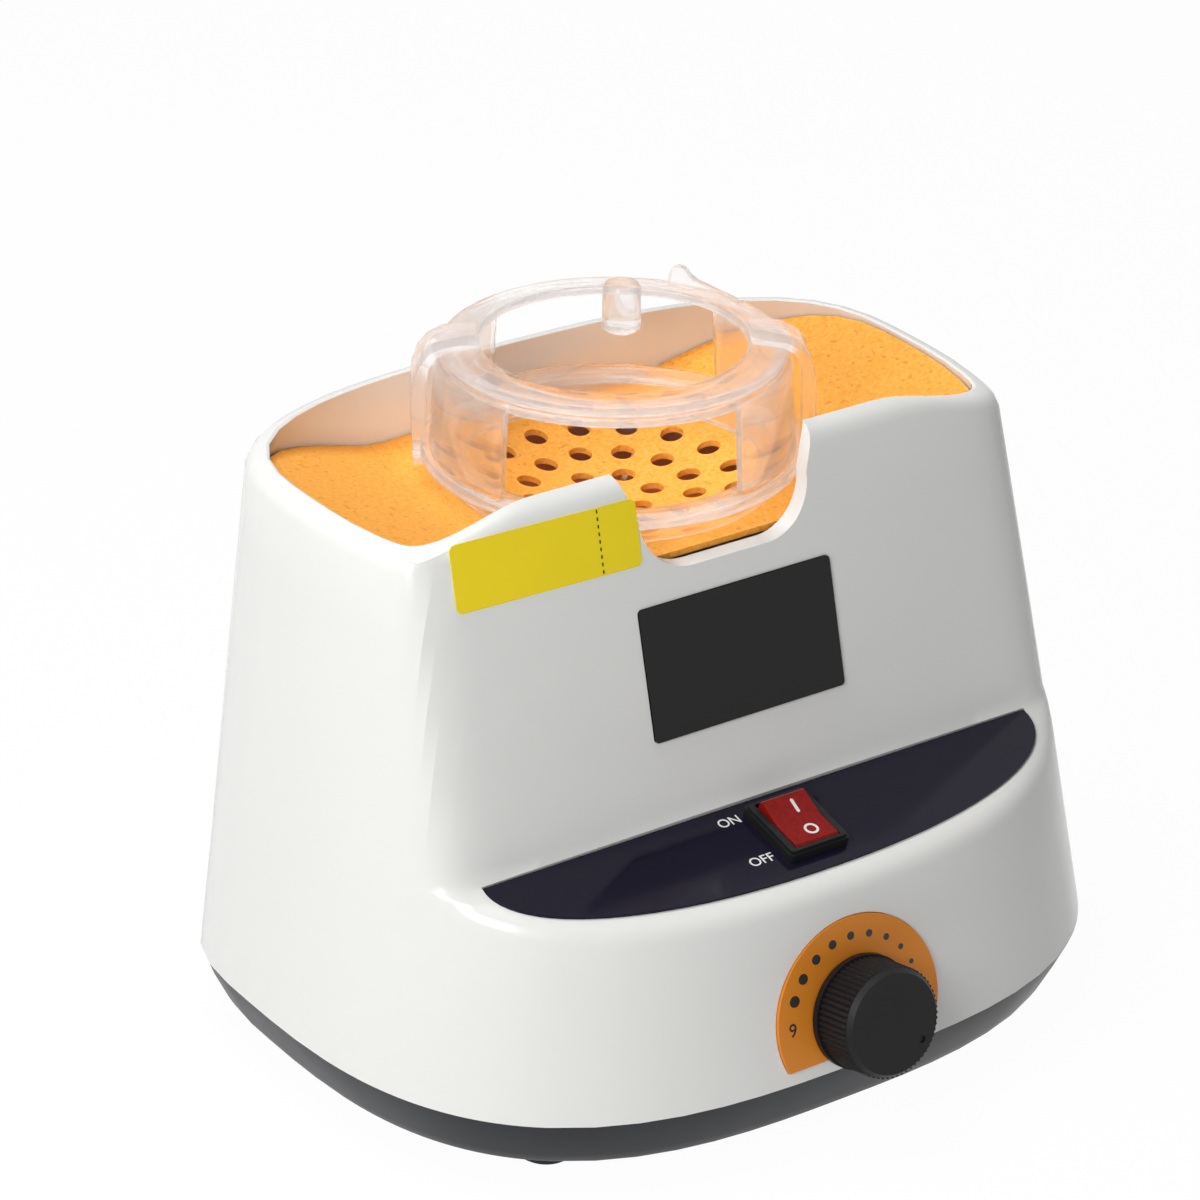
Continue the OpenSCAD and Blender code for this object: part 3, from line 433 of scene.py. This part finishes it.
case_white = moulded("case_white", WHITE, 0.24, cloud=0.012, coat=0.2)
base_grey = textured("base_grey", BASE_GREY, 0.40, shine=0.2)
black_plastic = textured("black_plastic", BLACK, 0.45, grain_mm=0.35, grain_depth=0.015, shine=0.2)
knob_black = textured("knob_black", (0.009, 0.009, 0.010), 0.5, grain_mm=0.3, grain_depth=0.02, shine=0.2)
rubber = textured("rubber", (0.012, 0.012, 0.012), 0.75, grain_mm=0.8, grain_depth=0.04)
panel_navy = moulded("panel_navy", (0.0095, 0.0080, 0.020), 0.09, peel_mm=6, peel_depth=0.003, shine=0.15)
plaque_black = moulded("plaque_black", (0.011, 0.012, 0.0105), 0.24, peel_mm=2, peel_depth=0.004, shine=0.2)
dial_orange = moulded("dial_orange", (0.80, 0.265, 0.022), 0.38, cloud=0.06, shine=0.3)
plate_orange = sandy("plate_orange", ORANGE, ORANGE_DEEP, ORANGE_PALE)
plated = brushed("plated", STEEL, 0.30)
galvanised = brushed("galvanised", (0.55, 0.55, 0.54), 0.38, line_mm=0.8)
tinned = brushed("tinned", (0.72, 0.71, 0.68), 0.25)
die_cast = brushed("die_cast", (0.40, 0.41, 0.42), 0.45, along=(1, 1, 1))
aluminium = brushed("aluminium", (0.75, 0.75, 0.75), 0.32, along=(0.1, 1, 1))
terminal_ivory = moulded("terminal_ivory", (0.72, 0.70, 0.60), 0.4)
phenolic = textured("phenolic", (0.30, 0.20, 0.12), 0.5)
clear = clear_plastic("clear_acrylic", (1.0, 0.98, 0.975), 0.03)
rocker_red = tinted_plastic("rocker_red", (0.30, 0.007, 0.005), 0.05, 0.30)
lamp_amber = tinted_plastic("lamp_amber", (0.95, 0.45, 0.18), 0.6, 0.05)

FINISHES = {
    "housing_shell": case_white, "base_tray": base_grey, "rubber_feet": rubber, "base_screws": plated,
    "ledge_panel": panel_navy, "front_plaque": plaque_black, "dial_plate": dial_orange,
    "switch_body": black_plastic, "switch_rocker": rocker_red, "switch_lamp": lamp_amber,
    "switch_terminals": tinned, "dimmer_body": die_cast, "dimmer_washer": tinned, "dimmer_nut": tinned,
    "dimmer_shaft": plated, "knob": knob_black, "top_plate": plate_orange, "air_duct": galvanised,
    "heat_shield": galvanised, "mica_former": pearly_mica("mica"), "heater_coil": stained_with_painted_glow("heater_wire"),
    "thermal_cutout": phenolic, "motor_bracket": galvanised, "bracket_screws": plated,
    "fan_motor": die_cast, "motor_screws": plated, "fan_shaft": plated, "fan_impeller": aluminium,
    "control_board": solder_masked("board_green"), "board_heatsink": aluminium, "board_screws": plated,
    "terminal_block": terminal_ivory, "cable_gland": black_plastic, "gland_nut": black_plastic,
    "hood_body": clear, "shutter_ring": clear,
}
for name, material in FINISHES.items():
    nodes[name].data.materials.clear()
    nodes[name].data.materials.append(material)
print("finishes:", len(set(FINISHES.values())), "on", len(FINISHES), "solids")

# %% [markdown]
# ## Smooth where it is round, crisp where it is cut
#
# The solids arrive as flat facets with a corner at every edge. Welding the corners together and
# smoothing every edge that bends less than a set angle gives round walls their true shading, and
# leaves cut edges sharp. It is done by modifiers, so the solids' own meshes aren't touched.

# %% Shading by angle
WELD_DISTANCE = 0.004 * MM
GENTLE_BEND = 34


def shading_group(name, degrees):
    """A geometry group that smooths the faces, and each edge that bends less than `degrees`."""
    group = bpy.data.node_groups.new(name, "GeometryNodeTree")
    for way in ("INPUT", "OUTPUT"):
        group.interface.new_socket("Geometry", in_out=way, socket_type="NodeSocketGeometry")
    start = group.nodes.new("NodeGroupInput")
    bend = group.nodes.new("GeometryNodeInputMeshEdgeAngle")
    gentle = group.nodes.new("FunctionNodeCompare")
    gentle.operation = "LESS_THAN"
    gentle.inputs[1].default_value = math.radians(degrees)
    faces = group.nodes.new("GeometryNodeSetShadeSmooth")
    edges = group.nodes.new("GeometryNodeSetShadeSmooth")
    edges.domain = "EDGE"
    end = group.nodes.new("NodeGroupOutput")
    for out, into in (
        (start.outputs[0], faces.inputs[0]), (faces.outputs[0], edges.inputs[0]),
        (bend.outputs[0], gentle.inputs[0]), (gentle.outputs[0], edges.inputs[2]),
        (edges.outputs[0], end.inputs[0]),
    ):
        group.links.new(out, into)
    return group


round_walls = shading_group("smooth_round_walls", GENTLE_BEND)


def smooth(piece):
    weld = piece.modifiers.new("weld", "WELD")
    weld.merge_threshold = WELD_DISTANCE
    piece.modifiers.new("smooth", "NODES").node_group = round_walls


for name in FINISHES:
    smooth(nodes[name])

# %% [markdown]
# ## Frames on the sloping fronts
#
# The printed and stuck things lie on three flat surfaces: the face, the ledge below it and the dial.
# Each gets its own frame, with x to the right, y up the surface and z out of it, so that a mark's
# place is two plain numbers. The lamp switch and the knob bring their own axes from the joints.

# %% Surface frames
FACE_LEAN = math.radians(14.5)
LEDGE_FALL = math.radians(12.6)
SWITCH_DOWN = 13.4
PIVOT_UP = -0.6
rocker_pivot = Vector(joints["rocker_press"]["pos_m"])
down_the_ledge = Matrix.Rotation(LEDGE_FALL, 3, "X") @ Vector((0, -SWITCH_DOWN, PIVOT_UP))
FACE_FOOT = rocker_pivot - down_the_ledge * MM


def sloping(origin, tilt):
    """A frame at `origin` whose x stays level and whose z leans `tilt` forward from upright."""
    return Matrix.Translation(origin) @ Matrix.Rotation(tilt, 4, "X")


on_face = sloping(FACE_FOOT, math.radians(90) - FACE_LEAN)
on_ledge = sloping(FACE_FOOT, LEDGE_FALL)
knob_axis = Vector(joints["heat_turn"]["axis"])
on_dial = sloping(Vector(joints["heat_turn"]["pos_m"]), math.radians(90) - math.asin(knob_axis.z))


def piece_from(name, points, faces, body, slot, material):
    """A mesh piece in the row frame that rides on a body and takes the finish it is given; `slot` is not
    used.
    """
    mesh = bpy.data.meshes.new(name)
    mesh.from_pydata(points, [], faces)
    mesh.materials.append(material)
    piece = bpy.data.objects.new(name, mesh)
    bpy.context.scene.collection.objects.link(piece)
    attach(piece, body)
    return piece


def prisms(outlines, place, low, high):
    """Points and faces of flat prisms: each outline is a ring of (x, y) in millimetres."""
    points, faces = [], []
    for ring in outlines:
        n, first = len(ring), len(points)
        for z in (low, high):
            points += [place @ (Vector((x, y, z)) * MM) for x, y in ring]
        faces.append([first + n + i for i in range(n)])
        faces.append([first + i for i in reversed(range(n))])
        faces += [[first + i, first + (i + 1) % n, first + n + (i + 1) % n, first + n + i] for i in range(n)]
    return points, faces


def disc(x, y, radius, steps=32):
    """A circle as a ring of (x, y)."""
    turns = [2 * math.pi * i / steps for i in range(steps)]
    return [(x + radius * math.cos(t), y + radius * math.sin(t)) for t in turns]


def rounded(x0, y0, x1, y1, radius, steps=6):
    """A rectangle with round corners, anticlockwise from the lower right corner."""
    ring = []
    for cx, cy, start in ((x1, y0, -90), (x1, y1, 0), (x0, y1, 90), (x0, y0, 180)):
        ox = cx - radius if cx == x1 else cx + radius
        oy = cy + radius if cy == y0 else cy - radius
        for i in range(steps + 1):
            turn = math.radians(start + 90 * i / steps)
            ring.append((ox + radius * math.cos(turn), oy + radius * math.sin(turn)))
    return ring


# %% [markdown]
# ## The yellow sticker
#
# A glossy vinyl sticker sits at the upper left of the face, with a tear line that parts a small end
# field. It is bare here. It is a thin plate with round corners, and the tear line is a row of short
# dashes laid on it.

# %% Sticker
# Left, foot, right and head on the face, in millimetres.
STICKER = (-73.2, 58.8, -24.6, 74.2)
STICKER_TURN = math.radians(-1.0)
STICKER_THICK = 0.15
STICKER_CORNER = 1.6
TEAR_X = -34.9
DASHES = 9
DASH_HALF_WIDTH = 0.2
DASH_CORNER = 0.1
DASH_THICK = 0.03

sticker_yellow = moulded("sticker_yellow", (0.95, 0.74, 0.012), 0.32, cloud=0.05, shine=0.3)
print_black = moulded("print_black", (0.012, 0.012, 0.011), 0.5)
print_white = moulded("print_white", (0.80, 0.80, 0.78), 0.45)
sticker_place = on_face @ Matrix.Rotation(STICKER_TURN, 4, "Z")
# The sticker turns round the face's foot, which lifts its left end; half of that is taken back.
lift = math.tan(STICKER_TURN) * STICKER[0] / 2
x0, y0, x1, y1 = STICKER
outline = rounded(x0, y0 + lift, x1, y1 + lift, STICKER_CORNER)
sheet = prisms([outline], sticker_place, 0.0, STICKER_THICK)
piece_from("sticker", *sheet, "case", "dial_orange", sticker_yellow)

step = (y1 - y0) / DASHES
dashes = []
for i in range(DASHES):
    foot, head = (y0 + lift + step * (i + share) for share in (0.25, 0.75))
    dashes.append(rounded(TEAR_X - DASH_HALF_WIDTH, foot, TEAR_X + DASH_HALF_WIDTH, head, DASH_CORNER, 2))
tear_line = prisms(dashes, sticker_place, STICKER_THICK, STICKER_THICK + DASH_THICK)
piece_from("sticker_tear_line", *tear_line, "case", "plaque_black", print_black)

# %% [markdown]
# ## Marks of the dial and the switch
#
# Nine dots grow round the dial to show more heat. They lie at even angles on a circle that draws in a
# little, so a loop places them and steps their size. The switch has its usual I and O on the rocker,
# and ON and OFF in small capitals beside it, as text objects turned into thin meshes.

# %% Dial dots
DOTS = 9
DOT_FIRST = math.radians(157)
DOT_LAST = math.radians(24)
DOT_CIRCLE = 18.6
DOT_CIRCLE_END = 17.2
DOT_BIG = 1.35
DOT_SMALL = 0.6
DOT_THICK = 0.04
DIAL_TOP = 0.4


def along(first, last, share):
    """The value at `share` of the way from `first` to `last`."""
    return first + (last - first) * share


dots = []
for i in range(DOTS):
    share = i / (DOTS - 1)
    turn = along(DOT_FIRST, DOT_LAST, share)
    reach = along(DOT_CIRCLE, DOT_CIRCLE_END, share)
    dots.append(disc(reach * math.cos(turn), reach * math.sin(turn), along(DOT_BIG, DOT_SMALL, share)))
dot_plates = prisms(dots, on_dial, DIAL_TOP, DIAL_TOP + DOT_THICK)
piece_from("dial_dots", *dot_plates, "case", "plaque_black", print_black)

# %% Lettering
# A font's size is about 1.4 times the height of its capitals, and print has slightly fat strokes.
SIZE_OF_CAPITALS = 1.4
STROKE_FAT = 0.02


def lettering(name, words, height, centre, place, body, material, thick=0.05):
    """Flat generic lettering, centred at (x, y) of a surface frame."""
    curve = bpy.data.curves.new(name, "FONT")
    curve.body = words
    curve.size = height * MM * SIZE_OF_CAPITALS
    curve.align_x = "CENTER"
    curve.align_y = "CENTER"
    curve.extrude = thick * MM / 2
    curve.offset = STROKE_FAT * MM
    text = bpy.data.objects.new(name + "_text", curve)
    bpy.context.scene.collection.objects.link(text)
    mesh = bpy.data.meshes.new_from_object(text.evaluated_get(bpy.context.evaluated_depsgraph_get()))
    bpy.data.objects.remove(text)
    mesh.transform(place @ Matrix.Translation(Vector((*centre, thick / 2)) * MM))
    mesh.materials.clear()
    mesh.materials.append(material)
    piece = bpy.data.objects.new(name, mesh)
    bpy.context.scene.collection.objects.link(piece)
    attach(piece, body)
    return piece


LEGEND_HEIGHT = 2.7
DIAL_NUMBER_HEIGHT = 3.2
ON_AT = (-12.6, -5.2)
OFF_AT = (-13.4, -19.2)
NUMBER_AT = (-18.4, 0.6)
on_dial_top = on_dial @ Matrix.Translation((0, 0, DIAL_TOP * MM))
lettering("legend_on", "ON", LEGEND_HEIGHT, ON_AT, on_ledge, "case", print_white)
lettering("legend_off", "OFF", LEGEND_HEIGHT, OFF_AT, on_ledge, "case", print_white)
lettering("dial_number", "9", DIAL_NUMBER_HEIGHT, NUMBER_AT, on_dial_top, "case", print_black)

# %% Rocker marks
ROCKER_TILT = math.radians(8)
on_rocker = Matrix.Translation(rocker_pivot) @ Matrix.Rotation(LEDGE_FALL + ROCKER_TILT, 4, "X")
# The rocker's top is a shallow V: each half rises outward from the middle.
ROCKER_RISE = 1.0
ROCKER_HALF = 6.9
ROCKER_V = math.atan2(ROCKER_RISE, ROCKER_HALF)
ROCKER_MIDDLE = 3.6
MARK_LOW, MARK_HIGH = -0.02, 0.06


def on_half(side):
    """Frame on one half of the rocker: side 1 is the back half, -1 the front half."""
    middle = on_rocker @ Matrix.Translation((0, 0, ROCKER_MIDDLE * MM))
    return middle @ Matrix.Rotation(side * ROCKER_V, 4, "X")


def ring_plate(cx, cy, outer, inner, place, low, high, steps=40):
    """Points and faces of a flat ring."""
    points, faces = [], []
    for radius, z in ((outer, low), (outer, high), (inner, high), (inner, low)):
        points += [place @ (Vector((x, y, z)) * MM) for x, y in disc(cx, cy, radius, steps)]
    for band in range(4):
        a, b = band * steps, (band + 1) % 4 * steps
        faces += [[a + i, a + (i + 1) % steps, b + (i + 1) % steps, b + i] for i in range(steps)]
    return points, faces


# The bar's left, foot, right, head and corner, then the circle's middle and its two radii.
BAR_MARK = (0.9, 1.8, 1.7, 5.6, 0.35)
CIRCLE_MARK = (0.9, -3.7, 1.75, 1.15)
bar = prisms([rounded(*BAR_MARK, steps=4)], on_half(1), MARK_LOW, MARK_HIGH)
piece_from("rocker_mark_on", *bar, "rocker", "terminal_white", print_white)
circle = ring_plate(*CIRCLE_MARK, on_half(-1), MARK_LOW, MARK_HIGH)
piece_from("rocker_mark_off", *circle, "rocker", "terminal_white", print_white)

# %% [markdown]
# ## The clear hood
#
# The solid hood has the wall, the flange and the way through. The real one has more: tall windows
# that are open up to a thin top band, round shoulders on the two carrying straps, and a ring with a
# round finger to turn it by. Turned plastic is a profile spun round an axis, so `spun` makes every
# round form, and where a window is, it leaves out the wall's two skins and closes the four edges.

# %% Turned forms
HOOD_TURN = math.radians(-31)
HOOD_STEPS = 144
EDGE_BREAK = 0.35
SHARP_BEND = math.radians(50)
hood_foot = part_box("hood_body")[0][2] / MM
hood_place = Matrix.Translation((hood_axis.x, hood_axis.y, hood_foot * MM))
on_hood = hood_place @ Matrix.Rotation(HOOD_TURN, 4, "Z")


def polar(radius, turn, height, place=on_hood):
    """The point at a radius and height in millimetres, and a turn in radians, round a frame's z."""
    return place @ (Vector((radius * math.cos(turn), radius * math.sin(turn), height)) * MM)


def spun(profile, place=on_hood, steps=HOOD_STEPS, windows=(), wall=None):
    """Points and faces of a closed (radius, height) profile spun round z.

    `windows` are spans of turn in degrees that are left open. `wall` names the four corners of the
    profile between which they lie: outer foot, outer head, inner head, inner foot.
    """
    n = len(profile)
    points = [polar(r, 2 * math.pi * k / steps, h, place) for k in range(steps) for r, h in profile]
    faces = []
    spans = [(round(a * steps / 360), round(b * steps / 360)) for a, b in windows]
    open_steps = {k % steps for first, last in spans for k in range(first, last)}
    for k in range(steps):
        here, there = k * n, (k + 1) % steps * n
        sides = [(i, (i + 1) % n) for i in range(n)]
        if k in open_steps:
            foot_out, head_out, head_in, foot_in = wall
            sides.remove((foot_out, head_out))
            sides.remove((head_in, foot_in))
            sides += [(foot_out, foot_in), (head_in, head_out)]
        faces += [[here + i, here + j, there + j, there + i] for i, j in sides]
        window_ends_here = (k in open_steps) != ((k - 1) % steps in open_steps)
        if window_ends_here:
            faces.append([here + i for i in wall])
    return points, faces


def fence(columns, inner, outer, place=on_hood):
    """Points and faces of an upright strip bent round z: each column is (turn in degrees, low, high)."""
    points = []
    for turn, low, high in columns:
        for radius, height in ((outer, low), (outer, high), (inner, high), (inner, low)):
            points.append(polar(radius, math.radians(turn), height, place))
    last = 4 * (len(columns) - 1)
    faces = [[0, 1, 2, 3], [last + 3, last + 2, last + 1, last]]
    for a in range(0, last, 4):
        faces += [[a + i, a + (i + 1) % 4, a + 4 + (i + 1) % 4, a + 4 + i] for i in range(4)]
    return points, faces


def strap(outline, side, half_width):
    """Points and faces of an upright (radius, height) outline at turn `side`, made thick both ways."""
    n = len(outline)
    turned = on_hood @ Matrix.Rotation(side, 4, "Z")
    points = [turned @ (Vector((r, w * half_width, h)) * MM) for w in (-1, 1) for r, h in outline]
    faces = [list(range(n)), [2 * n - 1 - i for i in range(n)]]
    faces += [[i, (i + 1) % n, n + (i + 1) % n, n + i] for i in range(n)]
    return points, faces


def clear_piece(name, shells, body, node):
    """One clear piece of several closed shells, with its sharp edges broken, in place of a solid."""
    points, faces = [], []
    for more_points, more_faces in shells:
        faces += [[len(points) + i for i in face] for face in more_faces]
        points += more_points
    piece = piece_from(name, points, faces, body, "hood_clear", clear)
    solid = bmesh.new()
    solid.from_mesh(piece.data)
    bmesh.ops.recalc_face_normals(solid, faces=solid.faces)
    solid.to_mesh(piece.data)
    solid.free()
    edges = piece.modifiers.new("edges", "BEVEL")
    edges.width = EDGE_BREAK * MM
    edges.segments = 2
    edges.limit_method = "ANGLE"
    edges.angle_limit = SHARP_BEND
    smooth(piece)
    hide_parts(node)
    return piece


# %% Hood with its two straps
# Radii and heights in millimetres, from the hood's axis and its foot: skirt, flange, wall, top band.
WINDOWS = ((-130, -50), (50, 130))
WALL_PROFILE = [
    (36.5, 0.0), (38.5, 0.4), (38.5, 6.0), (43.9, 6.0), (44.4, 6.5), (44.4, 8.0),
    (43.8, 8.6), (42.4, 8.7), (41.0, 29.6), (40.7, 30.8), (39.9, 31.4), (36.4, 31.4),
    (36.4, 30.0), (39.1, 29.6), (40.5, 8.7), (36.5, 8.2),
]
WALL_CORNERS = (7, 8, 13, 14)
STRAP_HALF_WIDTH = 7.0
STRAP_OUTLINE = [
    (46.2, 5.9), (46.5, 14), (46.5, 22), (46.0, 26.6), (44.7, 30.4), (42.3, 33.3),
    (39.0, 35.0), (34.5, 35.6), (31.4, 35.3), (31.0, 34.7), (38.0, 33.7), (40.8, 32.2),
    (42.4, 29.6), (43.0, 25), (43.0, 5.9),
]
straps = [strap(STRAP_OUTLINE, side, STRAP_HALF_WIDTH) for side in (0, math.pi)]
walls = spun(WALL_PROFILE, windows=WINDOWS, wall=WALL_CORNERS)
clear_piece("hood_windowed", [walls, *straps], "hood", "hood_body")

# %% Ring with its finger and boss
RING_PROFILE = [
    (33.0, 31.6), (39.4, 31.6), (39.8, 31.9), (39.8, 32.5), (39.3, 32.8), (35.0, 33.0),
    (32.6, 33.4), (31.4, 34.0), (30.8, 33.7), (30.8, 32.1), (31.4, 31.7),
]
# The finger's foot is a long ramp along the rim: turn in degrees, and the heights of foot and top.
FINGER_INNER, FINGER_OUTER = 37.4, 39.4
FINGER_FOOT = 32.7
FINGER_TOPS = [
    (36, 33.0), (43, 33.2), (50, 33.8), (56, 34.6), (58.6, 35.6), (59.6, 36.6), (60.8, 37.2), (62.6, 37.5),
    (64.4, 37.2), (65.6, 36.4), (66.2, 35.0), (66.4, 32.8),
]
BOSS_AT = math.radians(83)
BOSS_CIRCLE = 33.0
BOSS_PROFILE = [(0.01, 22.0), (3.6, 22.0), (4.6, 23.0), (4.6, 32.8), (4.0, 33.8), (2.4, 34.3), (0.01, 34.4)]
BOSS_STEPS = 32

on_boss = Matrix.Translation(polar(BOSS_CIRCLE, BOSS_AT, 0)) @ Matrix.Rotation(HOOD_TURN, 4, "Z")
finger = fence([(turn, FINGER_FOOT, top) for turn, top in FINGER_TOPS], FINGER_INNER, FINGER_OUTER)
boss = spun(BOSS_PROFILE, place=on_boss, steps=BOSS_STEPS)
clear_piece("ring_turned", [spun(RING_PROFILE), finger, boss], "shutter", "shutter_ring")

# %% [markdown]
# ## Closing
#
# The picture is shown as it is computed, with no film look.

# %% Finish
bpy.context.scene.view_settings.view_transform = "Standard"
